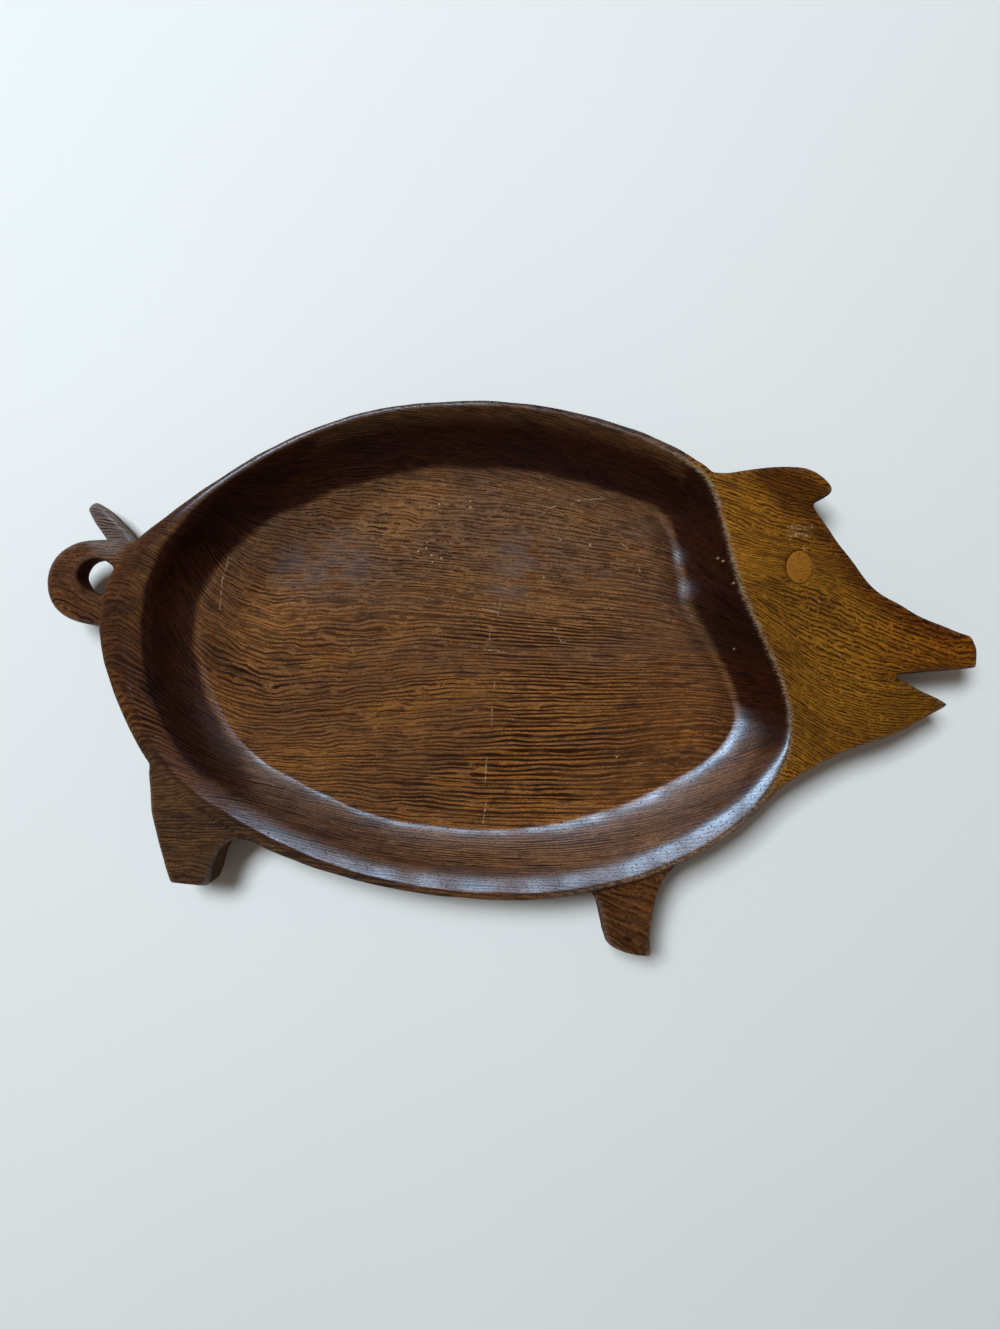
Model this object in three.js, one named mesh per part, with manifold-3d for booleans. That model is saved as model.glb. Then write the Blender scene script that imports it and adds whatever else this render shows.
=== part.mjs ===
// Pig-shaped serving tray, carved from one plank of hardwood, with an inlaid oval eye.
// Millimetres. +X runs towards the snout, +Y towards the pig's back, +Z up from the table.

import * as THREE from 'three';
import Module from 'manifold-3d';

const wasm = await Module();
wasm.setup();

// Extents seen from above, to which all the outlines and places below are stretched
const LENGTH = 456.2;          // from the curl of the tail to the snout
const BREADTH = 256.8;         // from the back to the soles

// Heights above the table
const PLANK = 33.5;            // crest of the rim, the face of the plank
const FLOOR = 10.6;            // flat floor of the basin
const RIM_EDGE = 27;           // outermost edge of the rim
const RIM_FULLNESS = 0.42;     // how square the rim's rounding is, 0.5 is a round quarter
const FLARE_BOW = 1.35;        // how hollow the outer wall is from the base up to the rim

// The base that the tray stands on
const BASE_INSET = 30;         // from the rim's outer edge in to the base, seen from above
const BASE_ROUND = 2.5;        // rounding between the base and the outer wall

// Stations round the basin, counter-clockwise from the snout's side: the crest's x and y, the
// rim's width outside it, the wall's run inside it down to the floor, the share of that run that
// is a gently sloping lip, and how hollow the wall is below the lip, 1 being straight.
const STATIONS = [
  [138, -8, 10, 23, 0.05, 2],
  [130.5, 14, 12, 26, 0, 2.2],
  [117, 35.5, 12, 28, 0, 2.2],
  [106, 52, 12, 28, 0, 2.2],
  [97.5, 70, 11, 26, 0, 2.2],
  [89.5, 89, 9, 24, 0, 2],
  [79.8, 105.5, 6.2, 25, 0, 1.7],
  [62, 115, 5, 27, 0, 1.5],
  [36, 122, 4.2, 27.5, 0, 1.45],
  [-8, 126, 3.2, 28, 0, 1.45],
  [-51, 121, 3.3, 28, 0, 1.45],
  [-88, 110, 3, 28, 0, 1.5],
  [-123, 90, 3.5, 29, 0.03, 1.6],
  [-157.5, 60, 5, 29, 0.12, 1.9],
  [-181, 27, 11.5, 32, 0.25, 2.2],
  [-187.5, -3, 11.8, 36, 0.33, 2.3],
  [-177, -36, 9.8, 33, 0.33, 2.2],
  [-150.5, -71, 9.2, 29, 0.33, 1.9],
  [-112, -91, 7.8, 26.5, 0.32, 1.7],
  [-61, -105, 5.2, 24.5, 0.32, 1.7],
  [-12, -107.4, 4.2, 26, 0.32, 1.7],
  [36, -101.2, 4, 29, 0.31, 1.7],
  [82.5, -83.5, 3.7, 33.5, 0.29, 1.7],
  [121.5, -53, 3.5, 33, 0.28, 1.75],
  [135.5, -27, 7, 26, 0.18, 1.9],
];
const LIP_FALL = 0.45;             // of the wall's height, if the lip ran on down to the floor
const LIP_ROUND = 0.1;             // of the wall's height, taken by the rounding under the lip
const BASIN_CENTRE = [-25, 8];     // the wall's sections point at it

// The head: a plate that falls away from the basin's edge towards the snout
const HEAD_EDGE = [80, 104.5];     // a point of the line along which the head leaves the rim
const HEAD_BEARING = 16.5;         // degrees from +X in which it falls
const HEAD_FALL = 4;               // degrees
const HEAD_UNDER = 3;              // underside above the table at the basin
const HEAD_UNDER_RISE = 3;         // degrees by which the underside climbs to the snout
const HEAD_ROUND = 2.6;            // rounding of the head's edges

// Outlines of the head and legs, in stretches: a stretch of one point is a straight line, more
// are a smooth curve. They start inside the dish.
const HEAD_OUTLINE = [
  [[60, 80]],
  [[60, 0]],
  [[100, -20]],
  [[128.4, -46]],
  [[146, -29.5], [168.5, -13.8], [192, -2], [215.6, 16]],
  [[185.4, 26.2]],
  [[227.2, 35.6]],
  [[226.3, 44.8], [222, 51.3]],
  [[215, 52.3], [199, 55.8], [183, 61], [169.5, 67], [160.6, 75.2], [152, 83], [143.2, 92],
    [134.4, 101.2]],
  [[136.2, 104.4], [140, 106.5], [142.9, 110.8], [138, 115.8], [130, 118.7], [119.3, 118.3],
    [105, 115.2], [91, 110.6], [83.4, 109.6]],
];
const REAR_LEG_OUTLINE = [
  [[-95, -50]],
  [[-130, -35]],
  [[-156.6, -60]],
  [[-162.5, -66], [-164, -72], [-162.6, -80], [-160.4, -92.5], [-156, -107], [-151.6, -118.5],
    [-148, -127]],
  [[-129.6, -125.5]],
  [[-128.4, -119], [-127.4, -111.5], [-124.6, -104.5], [-119, -100.2], [-112, -99.4],
    [-101, -101]],
  [[-92, -95]],
];
const FRONT_LEG_OUTLINE = [
  [[80, -45]],
  [[45, -60]],
  [[49, -97]],
  [[54.9, -99.4], [58, -102.4], [60.8, -107], [63.6, -114.5], [66.6, -122.6]],
  [[69.5, -125], [74.5, -126.8], [82, -127.6], [89.8, -127.2]],
  [[87.9, -119], [87.4, -107], [88.2, -96], [91.2, -85.5], [95.6, -78], [101, -73.5]],
  [[98, -66]],
];

// The eye: an oval plug of paler wood let into the head
const EYE_AT = [131, 70.5];
const EYE_WIDTH = 13.2;
const EYE_LENGTH = 16.3;
const EYE_TURN = 8;                // degrees counter-clockwise from the +Y axis
const EYE_DEPTH = 8;               // pocket below the head's face
const EYE_GAP = 0.3;               // between the plug and its pocket
const EYE_PROUD = 0.25;            // the plug's face above the head's

// The legs: two plates that fall from the rim to the soles
const LEG_TOP = 33.2;              // face of a leg at the belly
const LEG_SOLE_TOP = 26.4;         // face of a leg at the sole
const LEG_UNDER = 4.5;             // underside at the belly
const LEG_SOLE_UNDER = 6.5;        // underside at the sole
const LEG_ROUND = 2.2;             // rounding of the legs' edges
const BELLY_Y = -60;               // where the legs' faces start to fall

// The curled tail, along its middle: x, y, the height of its middle, half its width and half its
// thickness. The loop leaves the rump level with the rim, goes round the hole and dives under the
// rim. The tip goes on from there, under the rim and the start of the loop, and comes out free.
const TAIL_LOOP = [
  [-181, 25, 26, 9.5, 7],
  [-191, 28, 25.8, 7.6, 7],
  [-203, 29.6, 24.6, 4.9, 7],
  [-214.4, 25.4, 22.8, 5.8, 7.2],
  [-220.8, 15, 20.8, 8, 7.4],
  [-217.4, 3.8, 18.6, 9.2, 7.4],
  [-207, 0, 16.4, 8, 7.2],
  [-194, 1, 14, 7.2, 6.4],
  [-184, 3, 13, 6.6, 6],
];
const TAIL_TIP = [
  [-184, -3, 12.6, 6.6, 5.8],
  [-188, 11, 12, 6.8, 5.6],
  [-193, 24, 11, 6.8, 5.4],
  [-202, 36.4, 10.2, 6.4, 5],
  [-211.6, 45.2, 10, 5.2, 4.4],
  [-219.4, 51.4, 10, 3.2, 3.2],
];
const TAIL_SQUARE = 0.45;          // 1 gives an oval section, less a squarer one
const TAIL_END = 1.6;              // how far a rounded end reaches past the last point

// Fineness of the facets
const AROUND = 112;                // steps round the basin
const LENGTH_STEPS = 2000;         // steps in which the crest's length is measured
const WALL_STEPS = 14;             // rings down the basin's wall
const RIM_STEPS = 5;               // rings over the rim's rounding
const FLARE_STEPS = 5;             // rings up the outer wall
const OUTLINE_STEPS = 3;           // steps between the points of a drawn outline
const EDGE_STEPS = 3;              // facets over a plate's rounded edge
const OVAL_STEPS = 60;             // steps round the eye
const TAIL_RINGS = 5;              // sections between two of the tail's points
const TAIL_SIDES = 16;             // sides of each section
const TIP_RINGS = 3;               // rings over the tail's rounded end
const OVERCUT = 6;                 // how far cutters reach past the face that they cut

const radians = THREE.MathUtils.degToRad;
const lerp = THREE.MathUtils.lerp;

// How far the outlines reach as drawn, and how they are stretched to LENGTH and BREADTH
const drawn = new THREE.Box2();
for (const [x, y] of [HEAD_OUTLINE, REAR_LEG_OUTLINE, FRONT_LEG_OUTLINE].flat(2)) {
  drawn.expandByPoint(new THREE.Vector2(x, y));
}
for (const [x, y, , halfWidth] of TAIL_LOOP) {
  drawn.expandByPoint(new THREE.Vector2(x - halfWidth, y));
}
for (const [x, y, rim] of STATIONS) {
  drawn.expandByPoint(new THREE.Vector2(x, y + rim));
}
const stretch = new THREE.Vector2(LENGTH, BREADTH).divide(drawn.getSize(new THREE.Vector2()));

// A drawn place on the tray
function placed([x, y, z = 0]) {
  return new THREE.Vector3(x * stretch.x, y * stretch.y, z);
}

// A closed mesh with shared corners turned into a solid that can be joined and cut, and back
function toSolid(geometry) {
  return new wasm.Manifold(new wasm.Mesh({
    numProp: 3,
    vertProperties: new Float32Array(geometry.attributes.position.array),
    triVerts: new Uint32Array(geometry.index.array),
  }));
}

function toGeometry(solid) {
  const mesh = solid.getMesh();
  const indexed = new THREE.BufferGeometry();
  indexed.setAttribute('position', new THREE.BufferAttribute(mesh.vertProperties, 3));
  indexed.setIndex(new THREE.BufferAttribute(mesh.triVerts, 1));
  const geometry = indexed.toNonIndexed();
  geometry.computeVertexNormals();
  return geometry;
}

// A closed body through rings of equal size, ordered upwards and counter-clockwise. Its ends are
// fans round their middles, or the triangles given, as corners of a ring.
function loft(rings, triangles = null) {
  const count = rings[0].length;
  const last = (rings.length - 1) * count;
  const points = rings.flat();
  const index = [];
  for (let row = 0; row < last; row += count) {
    for (let i = 0; i < count; i += 1) {
      const next = (i + 1) % count;
      index.push(row + i, row + next, row + count + next);
      index.push(row + i, row + count + next, row + count + i);
    }
  }
  if (triangles) {
    for (const [a, b, c] of triangles) {
      index.push(a, c, b);
      index.push(last + a, last + b, last + c);
    }
  } else {
    const middle = (ring) => ring.reduce((sum, p) => sum.add(p), new THREE.Vector3())
      .divideScalar(count);
    const hub = points.length;
    points.push(middle(rings[0]), middle(rings.at(-1)));
    for (let i = 0; i < count; i += 1) {
      const next = (i + 1) % count;
      index.push(hub, next, i);
      index.push(hub + 1, last + i, last + next);
    }
  }
  const geometry = new THREE.BufferGeometry().setFromPoints(points);
  geometry.setIndex(index);
  return toSolid(geometry);
}

// Height of the head's face over any point: it falls along HEAD_BEARING from the rim's height
function headFace(x, y) {
  const edge = placed(HEAD_EDGE);
  const bearing = radians(HEAD_BEARING);
  const past = (x - edge.x) * Math.cos(bearing) + (y - edge.y) * Math.sin(bearing);
  return PLANK - past * Math.tan(radians(HEAD_FALL));
}

function headUnderside(x) {
  return HEAD_UNDER + (x - placed(HEAD_EDGE).x) * Math.tan(radians(HEAD_UNDER_RISE));
}

// Even samples round the basin: the crest, the outward direction and the section's sizes
function basinStations() {
  const crest = new THREE.CatmullRomCurve3(
    STATIONS.map(([x, y]) => placed([x, y])), true, 'centripetal');
  const sizes = new THREE.CatmullRomCurve3(
    STATIONS.map(([, , rim, run, lip]) => new THREE.Vector3(rim, run, lip)), true, 'catmullrom');
  const bows = new THREE.CatmullRomCurve3(
    STATIONS.map(([, , , , , bow]) => new THREE.Vector3(bow, 0, 0)), true, 'catmullrom');
  crest.arcLengthDivisions = LENGTH_STEPS;
  const centre = placed(BASIN_CENTRE);
  return Array.from({ length: AROUND }, (_, i) => {
    const t = crest.getUtoTmapping(i / AROUND);
    const at = crest.getPoint(t);
    const size = sizes.getPoint(t);
    return {
      at,
      out: at.clone().sub(centre).normalize(),
      height: Math.min(PLANK, headFace(at.x, at.y)),
      rim: size.x,
      run: size.y,
      lip: Math.max(0, size.z),
      bow: bows.getPoint(t).x,
    };
  });
}

// A ring of points, each moved out from its crest point by offset() to the height z()
function ringOf(stations, offset, z) {
  return stations.map((s) => s.at.clone().addScaledVector(s.out, offset(s)).setZ(z(s)));
}

// The uncut dish: base, hollow flaring wall, rounded rim and level top
function dishBlank(stations) {
  const baseEdge = (s) => s.rim - BASE_INSET;
  const halfRound = BASE_ROUND * (1 - Math.SQRT1_2);
  const rings = [
    ringOf(stations, (s) => baseEdge(s) - BASE_ROUND, () => 0),
    ringOf(stations, (s) => baseEdge(s) - halfRound, () => halfRound),
  ];
  for (let i = 0; i < FLARE_STEPS; i += 1) {
    const climb = i / FLARE_STEPS;
    const inset = BASE_INSET * (1 - climb) ** FLARE_BOW;
    rings.push(ringOf(stations, (s) => s.rim - inset, () => lerp(BASE_ROUND, RIM_EDGE, climb)));
  }
  for (let i = 0; i <= RIM_STEPS; i += 1) {
    const turn = (i / RIM_STEPS) * Math.PI / 2;
    const inward = 1 - Math.cos(turn) ** (2 * RIM_FULLNESS);
    const rise = Math.sin(turn) ** (2 * RIM_FULLNESS);
    rings.push(ringOf(stations, (s) => s.rim * (1 - inward), (s) => lerp(RIM_EDGE, s.height, rise)));
  }
  return loft(rings);
}

// Height of the wall, 1 at the crest and 0 at the floor: down the lip's even slope, round its
// edge and down a hollow that runs out on the floor
function wallProfile(s, lip, bow) {
  const height = (at) => {
    const slope = 1 - LIP_FALL * at;
    const hollow = (1 - LIP_FALL * lip) * ((1 - at) / (1 - lip)) ** bow;
    return (slope + hollow - Math.hypot(slope - hollow, LIP_ROUND)) / 2;
  };
  return (height(s) - height(1)) / (height(0) - height(1));
}

// What is hollowed out: the space over the floor and inside the wall
function basinCutter(stations) {
  const rings = [];
  for (let i = WALL_STEPS; i >= 0; i -= 1) {
    const inward = i / WALL_STEPS;
    const height = (s) => lerp(FLOOR, s.height, wallProfile(inward, s.lip, s.bow));
    rings.push(ringOf(stations, (s) => -s.run * inward, height));
  }
  rings.push(ringOf(stations, () => 0, () => PLANK + OVERCUT));
  return loft(rings);
}

// A closed counter-clockwise outline drawn in by a distance, corners along their bisectors
function drawnIn(points, distance) {
  const inward = (from, to) => new THREE.Vector2(from.y - to.y, to.x - from.x).normalize();
  return points.map((point, i) => {
    const before = inward(points.at(i - 1), point);
    const after = inward(point, points[(i + 1) % points.length]);
    const reach = distance / (1 + before.dot(after));
    return point.clone().addScaledVector(before.add(after), reach);
  });
}

// A plate of a drawn outline with rounded edges, between the heights under() and face()
function plate(shape, round, under, face) {
  const points = shape.getPoints(OUTLINE_STEPS);
  const rings = [];
  for (let i = 0; i <= EDGE_STEPS; i += 1) {
    const turn = (i / EDGE_STEPS) * Math.PI / 2;
    const contour = drawnIn(points, round * (1 - Math.sin(turn)));
    const step = round * (1 - Math.cos(turn));
    rings.splice(i, 0, contour.map(({ x, y }) => new THREE.Vector3(x, y, under(x, y) + step)));
    rings.splice(i + 1, 0, contour.map(({ x, y }) => new THREE.Vector3(x, y, face(x, y) - step)));
  }
  return loft(rings, THREE.ShapeUtils.triangulateShape(points, []));
}

// A shape from an outline's stretches
function shapeOf(stretches) {
  const shape = new THREE.Shape();
  const [start, ...others] = stretches.map((stretch) => stretch.map(placed));
  shape.moveTo(start[0].x, start[0].y);
  for (const points of others) {
    if (points.length === 1) {
      shape.lineTo(points[0].x, points[0].y);
    } else {
      shape.splineThru(points);
    }
  }
  return shape;
}

function head() {
  return plate(shapeOf(HEAD_OUTLINE), HEAD_ROUND, headUnderside, headFace);
}

// A leg's face and underside fall evenly from the belly to its sole, the outline's lowest point
function leg(stretches) {
  const belly = placed([0, BELLY_Y]).y;
  const sole = Math.min(...stretches.flat().map((point) => placed(point).y));
  const along = (y) => (belly - y) / (belly - sole);
  const under = (x, y) => lerp(LEG_UNDER, LEG_SOLE_UNDER, along(y));
  const face = (x, y) => lerp(LEG_TOP, LEG_SOLE_TOP, along(y));
  return plate(shapeOf(stretches), LEG_ROUND, under, face);
}

// One section of the tail, across the direction that it runs in, with its height kept upright
function tailSection(centre, along, halfWidth, halfThickness) {
  const across = new THREE.Vector3(-along.y, along.x, 0).normalize();
  return Array.from({ length: TAIL_SIDES }, (_, i) => {
    const angle = (i / TAIL_SIDES) * 2 * Math.PI;
    const wide = Math.sign(Math.cos(angle)) * Math.abs(Math.cos(angle)) ** TAIL_SQUARE;
    const high = Math.sign(Math.sin(angle)) * Math.abs(Math.sin(angle)) ** TAIL_SQUARE;
    const point = centre.clone().addScaledVector(across, wide * halfWidth);
    point.z += high * halfThickness;
    return point;
  });
}

// A stretch of the tail through its listed points, with a rounded end
function tailStretch(places) {
  const path = new THREE.CatmullRomCurve3(places.map(placed));
  const sizes = new THREE.CatmullRomCurve3(
    places.map(([, , , wide, thick]) => new THREE.Vector3(wide, thick, 0)), false, 'catmullrom');
  const rings = [];
  const steps = TAIL_RINGS * (places.length - 1);
  for (let i = 0; i <= steps; i += 1) {
    const size = sizes.getPoint(i / steps);
    rings.push(tailSection(path.getPoint(i / steps), path.getTangent(i / steps), size.x, size.y));
  }
  const [wide, thick] = places.at(-1).slice(3);
  const heading = path.getTangent(1);
  for (let i = 1; i <= TIP_RINGS; i += 1) {
    const turn = (i / (TIP_RINGS + 1)) * Math.PI / 2;
    const centre = path.getPoint(1).addScaledVector(heading, TAIL_END * Math.sin(turn));
    rings.push(tailSection(centre, heading, wide * Math.cos(turn), thick * Math.cos(turn)));
  }
  return loft(rings);
}

// An upright oval column over EYE_AT, whose foot and top follow the head's face at given heights
function eyeColumn(gap, foot, top) {
  const shape = new THREE.Shape();
  const at = placed(EYE_AT);
  shape.absellipse(at.x, at.y, EYE_WIDTH / 2 - gap, EYE_LENGTH / 2 - gap, 0, 2 * Math.PI, false,
    radians(EYE_TURN));
  const oval = shape.getSpacedPoints(OVAL_STEPS).slice(0, OVAL_STEPS);
  const ring = (height) => oval.map(({ x, y }) => new THREE.Vector3(x, y, headFace(x, y) + height));
  return loft([ring(foot), ring(top)]);
}

function trayBody() {
  const stations = basinStations();
  const carved = dishBlank(stations)
    .add(head())
    .add(leg(REAR_LEG_OUTLINE))
    .add(leg(FRONT_LEG_OUTLINE))
    .add(tailStretch(TAIL_LOOP))
    .add(tailStretch(TAIL_TIP))
    .subtract(basinCutter(stations))
    .subtract(eyeColumn(0, -EYE_DEPTH, OVERCUT));
  return toGeometry(carved);
}

const oiledWood = new THREE.MeshStandardMaterial({ color: 0x6b4526, roughness: 0.42, metalness: 0 });
const paleWood = new THREE.MeshStandardMaterial({ color: 0x8a5c1c, roughness: 0.5, metalness: 0 });

const body = new THREE.Mesh(trayBody(), oiledWood);
body.name = 'tray_body';

const eyePlug = toGeometry(eyeColumn(EYE_GAP, EYE_GAP - EYE_DEPTH, EYE_PROUD));
const eye = new THREE.Mesh(eyePlug, paleWood);
eye.name = 'eye_plug';

// The origin is under the middle of the tray, on the table
const tray = new THREE.Group();
tray.add(body, eye);
const extent = new THREE.Box3().setFromObject(tray);
const middle = extent.getCenter(new THREE.Vector3());
tray.position.set(-middle.x, -middle.y, -extent.min.z);

export default tray;
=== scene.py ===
"""Looks of the pig-shaped serving tray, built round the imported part.

Metres, in the part's own frame: +X to the snout, +Y to the pig's back, +Z up from the table.
Sizes that read better in millimetres are multiplied by MM.
"""

import math
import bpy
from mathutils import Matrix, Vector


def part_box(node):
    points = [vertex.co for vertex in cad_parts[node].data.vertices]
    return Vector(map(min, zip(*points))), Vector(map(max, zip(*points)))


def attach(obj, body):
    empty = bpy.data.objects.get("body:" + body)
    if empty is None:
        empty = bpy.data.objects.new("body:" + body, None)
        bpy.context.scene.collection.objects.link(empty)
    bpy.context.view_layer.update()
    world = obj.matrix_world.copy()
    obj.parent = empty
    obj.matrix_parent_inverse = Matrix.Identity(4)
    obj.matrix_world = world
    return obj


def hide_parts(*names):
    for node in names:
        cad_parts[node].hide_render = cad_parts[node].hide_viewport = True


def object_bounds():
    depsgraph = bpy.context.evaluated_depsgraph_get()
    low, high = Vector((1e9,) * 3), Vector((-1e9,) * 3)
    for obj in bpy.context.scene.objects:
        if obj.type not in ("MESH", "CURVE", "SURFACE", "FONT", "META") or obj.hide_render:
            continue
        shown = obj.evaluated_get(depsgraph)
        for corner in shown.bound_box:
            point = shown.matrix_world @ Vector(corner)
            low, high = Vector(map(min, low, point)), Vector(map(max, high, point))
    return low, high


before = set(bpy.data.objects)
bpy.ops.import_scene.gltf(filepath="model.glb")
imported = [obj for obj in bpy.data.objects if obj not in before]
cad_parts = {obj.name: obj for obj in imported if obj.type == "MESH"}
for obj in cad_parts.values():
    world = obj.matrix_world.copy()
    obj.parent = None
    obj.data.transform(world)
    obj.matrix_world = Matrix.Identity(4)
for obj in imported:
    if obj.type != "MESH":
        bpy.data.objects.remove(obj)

from types import SimpleNamespace

import bmesh
import bpy
import numpy as np
from mathutils import Vector
from mathutils.bvhtree import BVHTree

MM = 0.001
CAD_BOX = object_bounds()

# The photograph's camera: straight above the tray, close, and slightly turned
IMAGE_HEIGHT = 1329                 # pixels of the longer side
FOCAL = 750                         # focal length in the same pixels
SENSOR = 36.0                       # sensor's longer side in millimetres
CAMERA_AT = (-3.31 * MM, 2.20 * MM, 391 * MM)
CAMERA_TURN = math.radians(8.5)
CAMERA_NEAREST = 0.01               # metres

# The fine body
VOXEL = 0.9 * MM
SMOOTHING_FACTOR = 0.5
SMOOTHING = 9                       # rounds of smoothing after the remesh
SMOOTHING_REACH = 0.45 * MM         # the furthest that they move a point, so that tips stay sharp
LAST_SMOOTHING = 2                  # more rounds after that, without a limit
BODY_FACES = 180_000
BODY_SHARP = math.radians(48)       # edges that bend more than this stay crisp
WOBBLE = 0.20 * MM                  # unevenness left by the carver's tools
WOBBLE_WAVES = 20
WOBBLE_SEED = 11
WOBBLE_LENGTHS = (13 * MM, 70 * MM)
FLAT_BASE = 1 * MM                  # up to here the base has none of it
FULL_WOBBLE = 5 * MM                # and from here up the sides have all of it
BOX_GAP = 0.02 * MM                 # kept inside the frame's box

# The grain: lines of the wood, in millimetres, from the belly to the back
DISH_GRAIN = [
    [(-190, -118), (-115, -112), (-55, -114), (0, -113), (50, -110), (90, -128)],
    [(-180, -104), (-115, -96), (-55, -99), (0, -96), (55, -90), (110, -84)],
    [(-180, -80), (-116, -70), (-60, -63), (-5, -57), (51, -50), (105, -38)],
    [(-180, -48), (-150, -51), (-118, -54), (-63, -42), (-8, -32), (46, -22), (101, -9)],
    [(-180, -14), (-150, -24), (-122, -33), (-67, -18), (-40, -11), (-12, -6), (43, 0), (98, 8)],
    [(-180, 10), (-150, 0), (-125, -10), (-97, -7), (-69, -3), (-42, 4), (-14, 7), (41, 13), (97, 20)],
    [(-180, 38), (-152, 30), (-129, 20), (-102, 25), (-74, 29), (-46, 32), (10, 32), (66, 35), (95, 34)],
    [(-163, 62), (-135, 53), (-106, 53), (-50, 55), (6, 59), (62, 61), (90, 58)],
    [(-160, 66), (-109, 76), (-53, 81), (2, 84), (58, 80), (87, 74)],
    [(-150, 118), (-86, 122), (-29, 113), (28, 102), (87, 92)],
]
HEAD_GRAIN = [
    [(120, -48), (160, -60), (220, -70)],
    [(137, -22), (160, -36), (190, -44), (220, -46)],
    [(136, 5), (148, -3), (170, -12), (200, -10), (220, -4)],
    [(121, 31), (135, 20), (150, 10), (183, 4), (220, 8)],
    [(108, 52), (126, 40), (144, 29), (179, 20), (220, 18)],
    [(101, 66), (115, 64), (140, 63), (157, 58), (175, 50), (193, 44), (220, 36)],
    [(95, 78), (108, 74), (137, 74), (175, 70)],
    [(88, 92), (108, 82), (140, 78)],
    [(82, 101), (118, 92), (150, 86)],
]
FOREHEAD = [(112, 112), (135, 100), (157, 76), (180, 60), (212, 51)]   # its edge, seen from above
GRAIN_EASE = 12                     # a line's corners are eased over this many millimetres
EASE_STEPS = 7
LAYER_SLOPE = 1.2                   # how much one step up counts against one step across
LAYER_MIDDLE = (8, 60)              # y where the dish's layers turn over: most of the dish, the tail
LAYER_MIDDLE_X = (-60, -140)        # and x where each of the two holds
LAYER_TURN = 25                     # how gently they turn over

# Where the head's grain takes over: past these, each over so many millimetres
HEAD_FROM_X = (62, 16)
HEAD_PAST_CREST = (-0.6, 1.2)
HEAD_ABOVE_LEG = (-72, 12)          # above a line through LEG_LINE_X that climbs by LEG_LINE_SLOPE
LEG_LINE_X = 88
LEG_LINE_SLOPE = 0.5

# Wear: scratches and specks seen from above, in millimetres
SCRATCHES = [
    [(3, 79), (6, 80), (9, 84), (13, 86)],
    [(20, 88), (25, 91), (36, 93)],
    [(3, 94), (9, 93.5)],
    [(-6, 56), (-5, 53)],
    [(47, 73), (52, 70)],
    [(58, 63), (60, 59)],
    [(-8, 35), (-8, 26)],
    [(-16, 29), (-9, 28)],
    [(-11, 20), (-10.5, 14)],
    [(-12, 8.5), (0, 9)],
    [(21, 25), (26, 18), (31, 20)],
    [(-4.5, -7), (-4.5, -11.5)],
    [(-4, -20), (-3, -29)],
    [(-3, -46), (-2, -58)],
    [(0, -67), (0, -79)],
    [(72, -37), (76, -36.5)],
    [(-147, 35), (-149, 23), (-148, 9)],
]
REPAIRS = [                         # short bars of greyish filler above the eye
    [(124, 87.8), (135, 89.6)],
    [(124, 84.2), (135.5, 86)],
]
SPECKS = [
    (-49, 58), (-49, 55), (-53, 53), (-46, 52), (-41, 51), (-45, 48.5), (-30.5, 82), (-30, 79),
    (-46, 78), (17.5, 69.5), (33, 69), (12, 49), (62, -35.5), (94, 69), (96, 67.5), (102, 57.5),
    (111, 27), (144, 55), (213.5, 50.5), (216, 49.5),
]

# The inlaid eye
CAD_GAP = 0.3 * MM                  # between the frame's plug and its pocket
JOINT_GAP = 0.20 * MM               # the same gap as seen here
EYE_PROUD = 0.25 * MM               # the frame's plug above the head's face
PLUG_ROUND = 0.45 * MM
PLUG_CROWN = 0.25 * MM
PLUG_STEPS = 4                      # facets across the rounded edge, and cuts towards the crown
PLUG_SHARP = math.radians(40)
PLUG_FLAT = math.radians(1)         # faces that bend less than this are one face
PLUG_WELD = 0.01 * MM
FILL_STRETCH = 1.08                 # the fill of the pocket reaches into the wood round it,
FILL_FOOT = 1.5 * MM                # and this far below the plug
CUTTER_TOP = 6 * MM                 # the pocket's cutter stands this far above the plug


def srgb(red, green, blue):
    """A colour written in 0 to 255 steps, as the linear RGBA that the nodes take."""
    def linear(step):
        share = step / 255
        return share / 12.92 if share <= 0.04045 else ((share + 0.055) / 1.055) ** 2.4
    return linear(red), linear(green), linear(blue), 1.0


def vectors(items, attribute):
    """One vector of each of a mesh's items, as the rows of an array."""
    found = np.empty(len(items) * 3, np.float32)
    items.foreach_get(attribute, found)
    return found.reshape(-1, 3).astype(float)


def new_piece(name, mesh):
    piece = bpy.data.objects.new(name, mesh)
    bpy.context.scene.collection.objects.link(piece)
    return piece


def apply_modifiers(piece):
    """Turns the shape that the modifiers give into the piece's own mesh."""
    graph = bpy.context.evaluated_depsgraph_get()
    shaped = bpy.data.meshes.new_from_object(piece.evaluated_get(graph))
    piece.modifiers.clear()
    piece.data = shaped


def ramp(values, start, length):
    """0 up to the start, 1 once past the length, straight between."""
    return np.clip((values - start) / length, 0, 1)


def store(mesh, name, values):
    """Keeps one number per vertex on the mesh for the materials to read."""
    attribute = mesh.attributes.new(name, "FLOAT", "POINT")
    attribute.data.foreach_set("value", values.astype(np.float32))


# The basin's crest, read from the frame


CREST_DIRECTIONS = 240
CREST_STEP = 0.5 * MM
CREST_START = 40 * MM
CREST_REACH = 175 * MM
CREST_FALL = 0.3 * MM               # a fall of this much below the highest place ends the search
ABOVE_ALL = 1.0                     # metres over the frame's box, where the rays start
FLOOR_LEVEL = 11 * MM               # just above the basin's floor
BASIN_CENTRE = Vector((-24, 7, 0)) * MM
FACING_DOWN = -0.15                 # surfaces that face further down count as far outside the crest
FAR_OUTSIDE = -60.0
SHORTEST_EDGE = 0.05 * MM           # shorter edges count as this long in the bending
BENDING_ROUNDS = 3


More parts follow.
